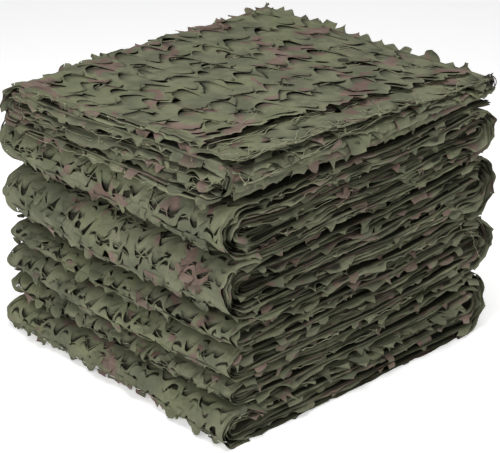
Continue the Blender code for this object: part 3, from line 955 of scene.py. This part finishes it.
def hole_strings(name, sheet, seed, chance, most):
    """Strings of the carrier net that show in the openings: for some cuts, up to most short strings
    pass just under the cloth, a little askew."""
    rng = np.random.default_rng(seed)
    starts, ends = [], []
    for s, v in sheet.cuts:
        if rng.random() > chance:
            continue
        for _ in range(rng.integers(1, most + 1)):
            ds, dv = rng.normal(0.0, 0.006, 2)
            reach = rng.uniform(0.018, 0.036)
            slope = rng.normal(0.0, 0.35)
            starts.append((s + ds - slope * reach, v + dv - reach))
            ends.append((s + ds + slope * reach, v + dv + reach))
    start, end = np.array(starts), np.array(ends)
    t = np.linspace(0.0, 1.0, 9)[None, :]
    s = mix(start[:, :1], end[:, :1], t) + 0.002 * np.sin(9.0 * t + start[:, :1] * 70.0)
    v = mix(start[:, 1:], end[:, 1:], t)
    s, v = np.clip(s, sheet.first, sheet.last), np.clip(v, -sheet.net.half, sheet.net.half)
    strings(name, on_cloth(sheet.net, s, v, out=-0.0016 * sheet.facing), 0.0007)


# ------------------------------------------------------------------ finishes
class Value:
    """A shader socket that takes part in sums, so that an expression adds its Math nodes."""

    def __init__(self, finish, socket):
        self.finish, self.socket = finish, socket

    def maths(self, operation, *terms):
        return self.finish.node("ShaderNodeMath", {"operation": operation}, dict(enumerate(terms)))

    def __add__(self, other):
        return self.maths("ADD", self, other)

    def __sub__(self, other):
        return self.maths("SUBTRACT", self, other)

    def __mul__(self, other):
        return self.maths("MULTIPLY", self, other)

    def __rsub__(self, other):
        return self.maths("SUBTRACT", other, self)

    __radd__, __rmul__ = __add__, __mul__

    def clipped(self, low, high):
        return self.finish.node("ShaderNodeMapRange", {"interpolation_type": "SMOOTHSTEP"},
                                {"Value": self, "From Min": low, "From Max": high})


class Finish:
    """A material with one Principled shader, and one method that adds any other node."""

    def __init__(self, name, **constants):
        self.material = bpy.data.materials.new(name)
        self.material.use_nodes = True
        self.tree = self.material.node_tree
        self.shader = self.tree.nodes["Principled BSDF"]
        for socket, value in constants.items():
            self.shader.inputs[socket.replace("_", " ")].default_value = value

    def node(self, kind, settings, inputs, output=0):
        made = self.tree.nodes.new(kind)
        for setting, value in settings.items():
            setattr(made, setting, value)
        for socket, value in inputs.items():
            self.feed(made.inputs[socket], value)
        return Value(self, made.outputs[output])

    def feed(self, socket, value):
        if isinstance(value, Value):
            self.tree.links.new(value.socket, socket)
        else:
            socket.default_value = value

    def noise(self, where, scale, detail=2.0, roughness=0.5, distortion=0.0):
        return self.node("ShaderNodeTexNoise", {}, {"Vector": where, "Scale": scale, "Detail": detail,
                                                    "Roughness": roughness, "Distortion": distortion})

    def mixed(self, share, first, second):
        return self.node("ShaderNodeMix", {"data_type": "RGBA"}, {0: share, 6: first, 7: second}, output=2)


def cloth_finish():
    """Matt woven cloth, printed olive with mauve-brown patches, paler along its cut edges, partly from
    wear and partly as a painted highlight, with painted shade deep between the layers, and a fine
    plain weave."""
    finish = Finish("leaf_cut_cloth", Roughness=0.9, Specular_IOR_Level=0.18)
    where = finish.node("ShaderNodeUVMap", {"uv_map": "flat_cloth"}, {})
    rim, lit, tint = (finish.node("ShaderNodeAttribute", {"attribute_name": mark}, {}, output=2)
                      for mark in ("rim", "lit", "tint"))
    broad = finish.noise(where, 6.0, 2.0, 0.5, 0.6)
    blotch = finish.noise(where, 17.0, 2.5, 0.55, 0.6)
    patches = finish.noise(where, 13.0, 1.5, 0.5, 0.9)
    fine = finish.noise(where, 260.0, 2.0)
    streak = finish.noise(where, 48.0, 3.0, 0.6, 0.4)
    olive = finish.mixed(blotch.clipped(0.36, 0.66), (0.118, 0.126, 0.080, 1.0), (0.188, 0.192, 0.120, 1.0))
    olive = finish.mixed(broad.clipped(0.48, 0.64) * 0.50, olive, (0.200, 0.214, 0.112, 1.0))
    brown = finish.mixed(blotch.clipped(0.35, 0.70), (0.150, 0.098, 0.080, 1.0), (0.225, 0.158, 0.132, 1.0))
    colour = finish.mixed((patches + tint * 0.11).clipped(0.598, 0.621), olive, brown)
    # paler cut edges: partly wear, partly a painted highlight
    colour = finish.mixed(rim * 0.38, colour, (0.290, 0.295, 0.195, 1.0))
    grime = fine.clipped(0.25, 0.75) * 0.22 + streak.clipped(0.38, 0.72) * 0.24
    colour = finish.mixed(grime, colour, (0.070, 0.076, 0.050, 1.0))
    # painted shade: the less light the lit mark gives, the nearer to black
    colour = finish.mixed(1.0 - lit, colour, (0.022, 0.022, 0.014, 1.0))
    finish.feed(finish.shader.inputs["Base Color"], colour)
    weave_u, weave_v = (finish.node("ShaderNodeTexWave", {"bands_direction": way},
                                    {"Vector": where, "Scale": 400.0}) for way in "XY")
    soft = finish.noise(where, 46.0, 4.0, 0.6)
    crumple = finish.node("ShaderNodeTexVoronoi", {"feature": "DISTANCE_TO_EDGE"},
                          {"Vector": where, "Scale": 34.0, "Randomness": 1.0})
    bump = finish.node("ShaderNodeBump", {}, {"Strength": 0.8, "Distance": 0.0026,
                                              "Height": (weave_u + weave_v) * 0.022 + soft + crumple * 0.9})
    finish.feed(finish.shader.inputs["Normal"], bump)
    return finish.material


def twine_finish(name, dark, pale):
    """Twisted twine, with painted shade between its strands."""
    finish = Finish(name, Roughness=0.85)
    where = finish.node("ShaderNodeTexCoord", {}, {}, output=3)
    twist = finish.node("ShaderNodeTexWave", {"bands_direction": "DIAGONAL"},
                        {"Vector": where, "Scale": 160.0})
    uneven = finish.noise(where, 35.0)
    # painted shade between the strands, mixed with random tone
    finish.feed(finish.shader.inputs["Base Color"], finish.mixed(twist * 0.4 + uneven * 0.6, dark, pale))
    bump = finish.node("ShaderNodeBump", {}, {"Strength": 0.6, "Distance": 0.001, "Height": twist})
    finish.feed(finish.shader.inputs["Normal"], bump)
    return finish.material


CLOTH = cloth_finish()
TWINE = twine_finish("border_twine", (0.10, 0.105, 0.060, 1.0), (0.34, 0.34, 0.215, 1.0))
DARK_TWINE = twine_finish("dark_twine", (0.012, 0.012, 0.009, 1.0), (0.070, 0.068, 0.050, 1.0))


# ------------------------------------------------------------------ the net's pieces
SPREAD = 0.030  # how far leafy cloth runs on past a fold, into the pile
TOP_START = 0.030  # how far in the top sheet's free edge starts
TOP_SKEW = 0.035  # and how much farther on the left
SECOND_LENGTH = 0.10  # of the leafy end of the second sheet, along the front
SIDES = (("front", LOWER, -1), ("back", LOWER, 1), ("upper_left", UPPER, -1), ("upper_right", UPPER, 1))


def outer_folds(net):
    """A net's outermost folds, in their order along the cloth. facing is 1 where a fold's outside is to
    the left of the cloth's run, falling 1 where the cloth comes down round it, and else both are -1."""
    folds = [s for s in net.section.stretches if s.kind == "fold" and s.where[1] == 0]
    for fold in folds:
        middle = (fold.first + fold.last) / 2
        _, _, _, a, h = on_section(net.section, np.array([middle - 0.01, middle + 0.01]))
        fold.facing = -1.0 if a[0] * h[1] - a[1] * h[0] > 0 else 1.0
        first_height, last_height = on_section(net.section, np.array([fold.first, fold.last]))[1]
        fold.falling = 1.0 if first_height > last_height else -1.0
    return sorted(folds, key=lambda fold: fold.first)


def down_fold(fold, share):
    """The length along the cloth at a share of the way down a fold."""
    return mix(fold.first, fold.last, 0.5 + fold.falling * (share - 0.5))


def leafy_fold(name, backing_name, net, fold, reach, leaf, seed, backing_seed, base, lean, wrinkle, glow):
    """A fold's leafy skin, from reach[0] before it to reach[1] past it, and the backing behind it."""
    first, last = fold.first - reach[0], fold.last + reach[1]
    skin = cloth(name, net, first, last, seed, base=base, leaf=leaf, styles=(SKIN_STYLE, HANG_STYLE),
                 falling=fold.falling, lean=lean * fold.falling, facing=fold.facing, wrinkle=wrinkle)
    backing(backing_name, net, first, last, backing_seed, fold.facing, 0.0045, glow)
    return skin


def lower_cloth():
    """The four lower packets: leafy cloth round each outermost fold, plain layers between."""
    folds = outer_folds(LOWER)
    skins = [leafy_fold(f"fold_{k + 1}", f"fold_backing_{k + 1}", LOWER, fold, (SPREAD, SPREAD), FOLD_LEAF,
                        100 + 17 * k, 1900 + k, 0.006, 0.42, 0.0016, 0.08) for k, fold in enumerate(folds)]
    between = [0.0] + [edge for fold in folds for edge in (fold.first - SPREAD, fold.last + SPREAD)]
    between.append(LOWER.section.length)
    for k in range(0, len(between), 2):
        cloth(f"layers_{k // 2 + 1}", LOWER, between[k], between[k + 1], 500 + 13 * k, base=0.0034, limp=0.95)
    return folds, skins


def upper_cloth():
    """The top packet: its leafy top sheet runs on round the back fold, its second layer shows along
    the front, and its outermost front fold is leafy too."""
    length = UPPER.section.length
    folds = outer_folds(UPPER)
    back = next(fold for fold in folds if fold.where[0] > 0)
    front = next(fold for fold in folds if fold.where[0] < 0)
    reach = (0.02, 0.03)  # of the leafy cloth, before the front fold and past it
    top_end = back.last + 0.02
    creases = (
        (-0.28, -0.187, 0.29, -0.222, 0.016, 0.0040), (-0.262, -0.20, -0.268, 0.10, 0.008, 0.0025),
        (-0.20, -0.17, -0.02, -0.20, 0.016, -0.0025), (-0.15, 0.02, 0.06, -0.05, 0.020, 0.0022),
        (0.05, 0.12, 0.24, 0.06, 0.018, 0.0025), (-0.05, -0.13, 0.20, -0.16, 0.014, 0.0022),
        (-0.18, 0.16, -0.02, 0.22, 0.022, 0.0025), (0.10, -0.08, 0.27, -0.02, 0.020, -0.0028),
    )
    leaning = dict(base=0.006, leaf=TOP_LEAF, lean=-0.70, bias=0.0075)
    layers = dict(base=(0.007, 0.001), limp=1.3)
    top = cloth("top_sheet", UPPER, TOP_START, top_end, 41, limp=1.1, wrinkle=0.0018, creases=creases,
                hem=True, skew=TOP_SKEW, **leaning)
    backing("top_backing", UPPER, TOP_START + TOP_SKEW, top_end, 1950, 1.0, 0.0050, 0.15)
    cloth("upper_layers_1", UPPER, top_end, front.first - reach[0], 61, **layers)
    wrap = leafy_fold("front_fold", "front_fold_backing", UPPER, front, reach, TOP_LEAF, 43, 1960, 0.005,
                      0.0, 0.0012, 0.18)
    cloth("upper_layers_2", UPPER, front.last + reach[1], length - SECOND_LENGTH, 67, **layers)
    second = cloth("second_sheet", UPPER, length - SECOND_LENGTH, length, 47, **leaning)
    return top, wrap, second, back, front


def fringe(folds, back, front):
    """The loose leaf tips and ribbons: on all four sides of the layers, on the folds, and along the
    top's far edges and the bottom."""
    for number, (place, net, side) in enumerate(SIDES):
        sizes = (0.014, 0.042) if net is LOWER else (0.024, 0.040)
        lengths = (0.008, 0.018) if net is LOWER else (0.012, 0.020)
        spacing = (0.080, 0.080, 0.045, 0.075)[number]
        side_tips(f"tips_{place}", net, side, spacing, 811 + number, sizes, lengths)
    lower_skins = [(fold.first - SPREAD / 2, fold.last + SPREAD / 2) for fold in folds]
    length = UPPER.section.length
    upper_skins = [(0.0, back.last), (front.first, front.last), (length - SECOND_LENGTH, length)]
    for number, (place, net, side) in enumerate(SIDES):
        skins = lower_skins if net is LOWER else upper_skins
        hem_ribbons(f"ribbons_{place}_under", net, side, 821 + number, 0.0036, skins)
        if place == "front":
            hem_ribbons(f"ribbons_{place}_over", net, side, 871 + number, -0.0030, skins)

    for number, fold in enumerate(folds):
        rows = [(0.64, 1300 + 31 * number, 0.004, 0.25, 1.0)]
        flounces(f"flounces_{number + 1}", LOWER, fold, rows, (0.022, 0.060), (0.004, 0.018), 0.05)
    shares = (-0.10, 0.06, 0.19, 0.29, 0.38, 0.46, 0.53, 0.60, 0.66)
    rows = [(share, 1700 + 9 * k, 0.009 + 0.001 * k, 0.45 - 0.04 * k, 1.0 - 0.045 * k)
            for k, share in enumerate(shares)]
    flounces("flounces_front", UPPER, front, rows, (0.018, 0.050), (0.000, 0.008), 2.0)

    rng = np.random.default_rng(640)
    share = rng.choice([0.15, 0.35, 0.55], 26) + rng.uniform(-0.05, 0.05, 26)
    skin_tips("tips_front_fold", UPPER, down_fold(front, share), spread(rng, 26, 0.27, 0.010), front.facing,
              front.falling, 641, (0.022, 0.040), (0.014, 0.028), (0.2, 0.6))
    for number, fold in enumerate(folds):
        rng = np.random.default_rng(900 + number)
        span = fold.last - fold.first
        n = int(16 + 220 * span)
        s = pick(rng, n, fold.first + 0.14 * span, fold.last - 0.14 * span)
        skin_tips(f"tips_fold_{number + 1}", LOWER, s, rng.uniform(-0.24, 0.24, n), fold.facing, fold.falling,
                  930 + number, (0.018, 0.036), (0.011, 0.020), (0.05, 0.45))

    rng = np.random.default_rng(77)
    s = back.first + pick(rng, 30, 0.006, 0.024)
    skin_tips("tips_top_back", UPPER, s, spread(rng, 30, 0.28, 0.008), 1.0, 1.0, 78, (0.022, 0.036),
              (0.014, 0.020), (0.35, 0.85), clear=-0.004)
    lowest = [fold for fold in folds if on_section(LOWER.section, (fold.first + fold.last) / 2)[1] < 0.06]
    for number, fold in enumerate(lowest, 32):
        s = down_fold(fold, 0.72) + rng.uniform(-0.008, 0.008, 15)
        skin_tips(f"tips_floor_{number}", LOWER, s, spread(rng, 15, 0.26, 0.012), fold.facing, fold.falling,
                  85 + number, (0.020, 0.032), (0.012, 0.018), (0.5, 1.1))
    for place, net, side in SIDES[:2]:
        s = LOWER.section.length - np.linspace(0.04, 0.52, 19) + rng.uniform(-0.01, 0.01, 19)
        out = 0.006 if place == "front" else 0.0
        rim_tips(f"tips_floor_{place}", net, s, side, 86 + side, (0.022, 0.038), (0.020, 0.028), (-0.5, 0.1),
                 shift=(out, 0.008))
    s = np.linspace(0.03, 0.54, 17) + rng.uniform(-0.010, 0.010, 17)
    rim_tips("tips_top_right", UPPER, s, 1, 79, (0.024, 0.046), (0.009, 0.017), (0.3, 0.9))


def edge_strings(name, net, side, seed, pitch, drop, out, chance):
    """The carrier net's strings along the layers' edges on one side: from knot to knot they hang a
    little outside the cloth, and from each knot two short ones run back in, in a V."""
    rng = np.random.default_rng(seed)
    s = np.arange(0.03, net.section.length - 0.03, pitch)
    s = s + rng.uniform(-0.2, 0.2, len(s)) * pitch
    knot, edge = side_point(net, s, side)
    outward = side * net.sideways
    level = np.abs(edge[:, 2]) < 0.5
    knot = knot + outward * rng.uniform(0.6, 1.2, (len(s), 1)) * out
    knot[:, 2] -= rng.uniform(0.3, 1.1, len(s)) * drop
    near = np.linalg.norm(np.diff(knot, axis=0), axis=1) < 1.5 * pitch
    run = np.flatnonzero(near & (rng.random(len(s) - 1) < chance) & level[:-1] & level[1:])
    paths = [hanging(knot[run], knot[run + 1], rng.uniform(0.0, 0.006, len(run)), 0.0014, seed + 1)]
    tied = np.unique(np.concatenate([run, run + 1]))
    for lean in (-0.022, 0.024):
        root, _ = side_point(net, s[tied] + lean * rng.uniform(0.5, 1.3, len(tied)), side, inset=0.006)
        paths.append(hanging(knot[tied], root, 0.001, 0.001, seed + 2))
    tail = knot[tied] + rng.normal(0.0, 0.005, (len(tied), 3)) + outward * 0.004
    paths.append(hanging(knot[tied], tail, 0.001, 0.001, seed + 3))
    knotted(name, paths, knot[tied], edge[tied][:, None, :], 0.0025, (0.00055, 0.0014))


def border_cord():
    """The cord along the second sheet's front edge: three strands twisted round one line, a knot at
    every mesh of the carrier net, and from each knot strings in a V to the top sheet."""
    rng = np.random.default_rng(61)
    low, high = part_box("border_cord")
    centre_y = -0.268 - CORD / 2 - CORD_GAP
    height, layer = UPPER.section.height[-1], UPPER.section.layer[-1]

    def line(x):
        across = x / upper_reach(x, height, layer)
        return place_upper(np.full_like(x, centre_y), across, np.full_like(x, height), layer)

    x = np.linspace(low[0] + 0.003, high[0] - 0.003, 261)
    wander = 0.0010 * np.sin(x * 61.0 + 1.0) + 0.0008 * np.sin(x * 143.0)
    path = line(x)
    path[:, 1] += wander
    path[:, 2] += 0.6 * wander[::-1]
    turns = x / 0.034 * 2.0 * math.pi + 1.5 * np.sin(x * 37.0)
    strands = []
    for phase in (0.0, 2.4, math.pi + 0.9):
        strand = path.copy()
        strand[:, 1] += 0.0010 * np.cos(turns + phase)
        strand[:, 2] += 0.0012 * np.sin(0.8 * turns + phase)
        strands.append(strand)
    cord = strings("border_cord_strands", strands, 0.00070)
    knots = line(np.arange(-0.245, 0.28, 0.088) + rng.uniform(-0.006, 0.006, 6))
    knots[:, 1] -= 0.001
    ties = []
    for lean in (-0.026, 0.022):
        end = knots + np.array([0.0, 0.022, 0.006])
        end[:, 0] += lean * rng.uniform(0.6, 1.3, len(knots))
        ties.append(hanging(knots, end, -0.003, 0.0012, 62))
    tail = knots + rng.normal(0.0, 0.004, knots.shape) + np.array([0.0, -0.0054, 0.009])
    ties.append(hanging(knots, tail, 0.0, 0.0015, 63))
    knotted("border_cord_ties", ties, knots, np.array([1.0, 0.15, 0.1]), 0.003, (0.0007, 0.0020))
    return cord


def front_strings(front):
    """A line of the carrier net's strings slung across the front fold: doubled from knot to knot,
    lowest at the left, with a V from every knot up to the cloth, and short tails."""
    rng = np.random.default_rng(91)
    v = np.linspace(-0.270, 0.235, 6) + rng.uniform(-0.010, 0.010, 6)

    def line(share, across, out):
        return on_cloth(UPPER, down_fold(front, share), across, out=out * front.facing)

    def slung(a, b, sag, wobble, seed):
        return hanging(a, b, sag, wobble, seed, points=15)

    share = mix(0.52, 0.02, (v + 0.272) / 0.52) + rng.uniform(-0.04, 0.04, len(v))
    knots = line(share, v, 0.0085)
    paths = [slung(knots[:-1], knots[1:], rng.uniform(low, high, len(v) - 1), 0.0011, 92 + k)
             for k, (low, high) in enumerate(((0.000, 0.003), (0.003, 0.007)))]
    for lean in (-0.020, 0.017):
        paths.append(slung(knots, line(share - 0.16, v + lean, 0.0045), 0.0, 0.0010, 95))
    paths.append(slung(knots, knots + rng.normal(0.0, 0.006, knots.shape), 0.0, 0.0010, 96))
    knotted("strings_front_fold", paths, knots, np.array([1.0, 0.1, 0.2]), 0.003, (0.00065, 0.0017))


def corner_tangle():
    """The knot of loose strings at the top's right front corner: short loops of dark twine round one
    middle, each a flat ring, tilted and a little bent."""
    rng = np.random.default_rng(71)
    middle = place_upper(-0.250, 1.0, UPPER_HEIGHT - 0.026, 0.0) + [0.006, -0.016, 0.0]
    t = np.linspace(0.0, 2.0 * math.pi, 25)[None, :]
    n = 16
    phase, tilt = rng.uniform(0.0, 6.28, (n, 1)), rng.uniform(-0.9, 0.9, (n, 1))
    size = rng.uniform(0.006, 0.014, (n, 1))
    x = size * np.cos(t + phase) * 0.7
    y = size * np.sin(t + phase) * np.sin(tilt) + 0.003 * np.sin(2.0 * t + phase)
    z = size * np.sin(t + phase) * np.cos(tilt)
    shift = rng.normal(0.0, 0.003, (n, 1, 3))
    strings("corner_tangle", middle + np.stack([x, y, z], -1) + shift, 0.0009, DARK_TWINE)


folds, skins = lower_cloth()
eye_loops("eye_loops_lower", LOWER)
eye_loops("eye_loops_upper", UPPER)
top, wrap, second, back_fold, front_fold = upper_cloth()
fringe(folds, back_fold, front_fold)
hole_strings("strings_top", top, 21, 0.7, 4)
hole_strings("strings_second", second, 22, 0.8, 3)
hole_strings("strings_wrap", wrap, 23, 0.5, 3)
for number, skin in enumerate(skins):
    hole_strings(f"strings_fold_{number + 1}", skin, 31 + number, 0.5, 2)
edge_strings("strings_upper_left", UPPER, -1, 51, 0.085, 0.009, 0.007, 0.6)
edge_strings("strings_upper_right", UPPER, 1, 52, 0.085, 0.009, 0.007, 0.5)
edge_strings("strings_front", LOWER, -1, 53, 0.088, 0.006, 0.006, 0.10)
edge_strings("strings_back", LOWER, 1, 54, 0.088, 0.006, 0.006, 0.10)
front_strings(front_fold)
corner_tangle()
cord = border_cord()

# ------------------------------------------------------------------ the solids
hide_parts("net_cloth")
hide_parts("border_cord")


# ------------------------------------------------------------------ floor, lights, camera
def floor():
    size = 12.0
    mesh = bpy.data.meshes.new("floor")
    corners = [(-size, -size, 0), (size, -size, 0), (size, size, 0), (-size, size, 0)]
    mesh.from_pydata(corners, [], [(0, 1, 2, 3)])
    made = bpy.data.objects.new("floor", mesh)
    bpy.context.scene.collection.objects.link(made)
    finish = Finish("pale_floor", Roughness=0.9, Base_Color=(0.92, 0.92, 0.92, 1.0),
                    Emission_Color=(1.0, 1.0, 1.0, 1.0), Emission_Strength=0.43)
    mesh.materials.append(finish.material)


def area_light(name, place, aim, size, watts):
    data = bpy.data.lights.new(name, "AREA")
    data.shape, data.size, data.energy = "DISK", size, watts
    lamp = bpy.data.objects.new(name, data)
    lamp.location = place
    lamp.rotation_euler = (Vector(aim) - Vector(place)).to_track_quat("-Z", "Y").to_euler()
    bpy.context.scene.collection.objects.link(lamp)


def camera():
    """Looks at the pile from an azimuth, an elevation and a distance, as wide as the photo does."""
    azimuth, elevation, distance = math.radians(-42.74), math.radians(23.60), 2.6145
    image_width, focal_pixels, sensor = 500.0, 1548.5, 36.0
    target = Vector((0.0077, 0.0007, 0.1881))
    back = Vector((math.sin(azimuth) * math.cos(elevation), -math.cos(azimuth) * math.cos(elevation),
                   math.sin(elevation)))
    data = bpy.data.cameras.new("camera")
    data.sensor_width, data.lens = sensor, sensor * focal_pixels / image_width
    made = bpy.data.objects.new("camera", data)
    made.location = target + back * distance
    made.rotation_euler = (-back).to_track_quat("-Z", "Y").to_euler()
    bpy.context.scene.collection.objects.link(made)
    bpy.context.scene.camera = made


def world():
    made = bpy.data.worlds.new("studio")
    made.use_nodes = True
    background = made.node_tree.nodes["Background"]
    background.inputs["Color"].default_value = (1.0, 1.0, 1.0, 1.0)
    background.inputs["Strength"].default_value = 0.30
    bpy.context.scene.world = made


floor()
world()
area_light("softbox_top", (-0.5, -0.5, 2.6), (0.0, 0.0, 0.3), 1.5, 44.5)
area_light("softbox_left", (-2.4, -0.5, 1.1), (0.0, 0.0, 0.20), 1.3, 24.5)
area_light("softbox_right", (1.2, -2.6, 1.3), (0.0, 0.0, 0.25), 1.2, 16.0)
camera()
bpy.context.scene.view_settings.view_transform = "Standard"
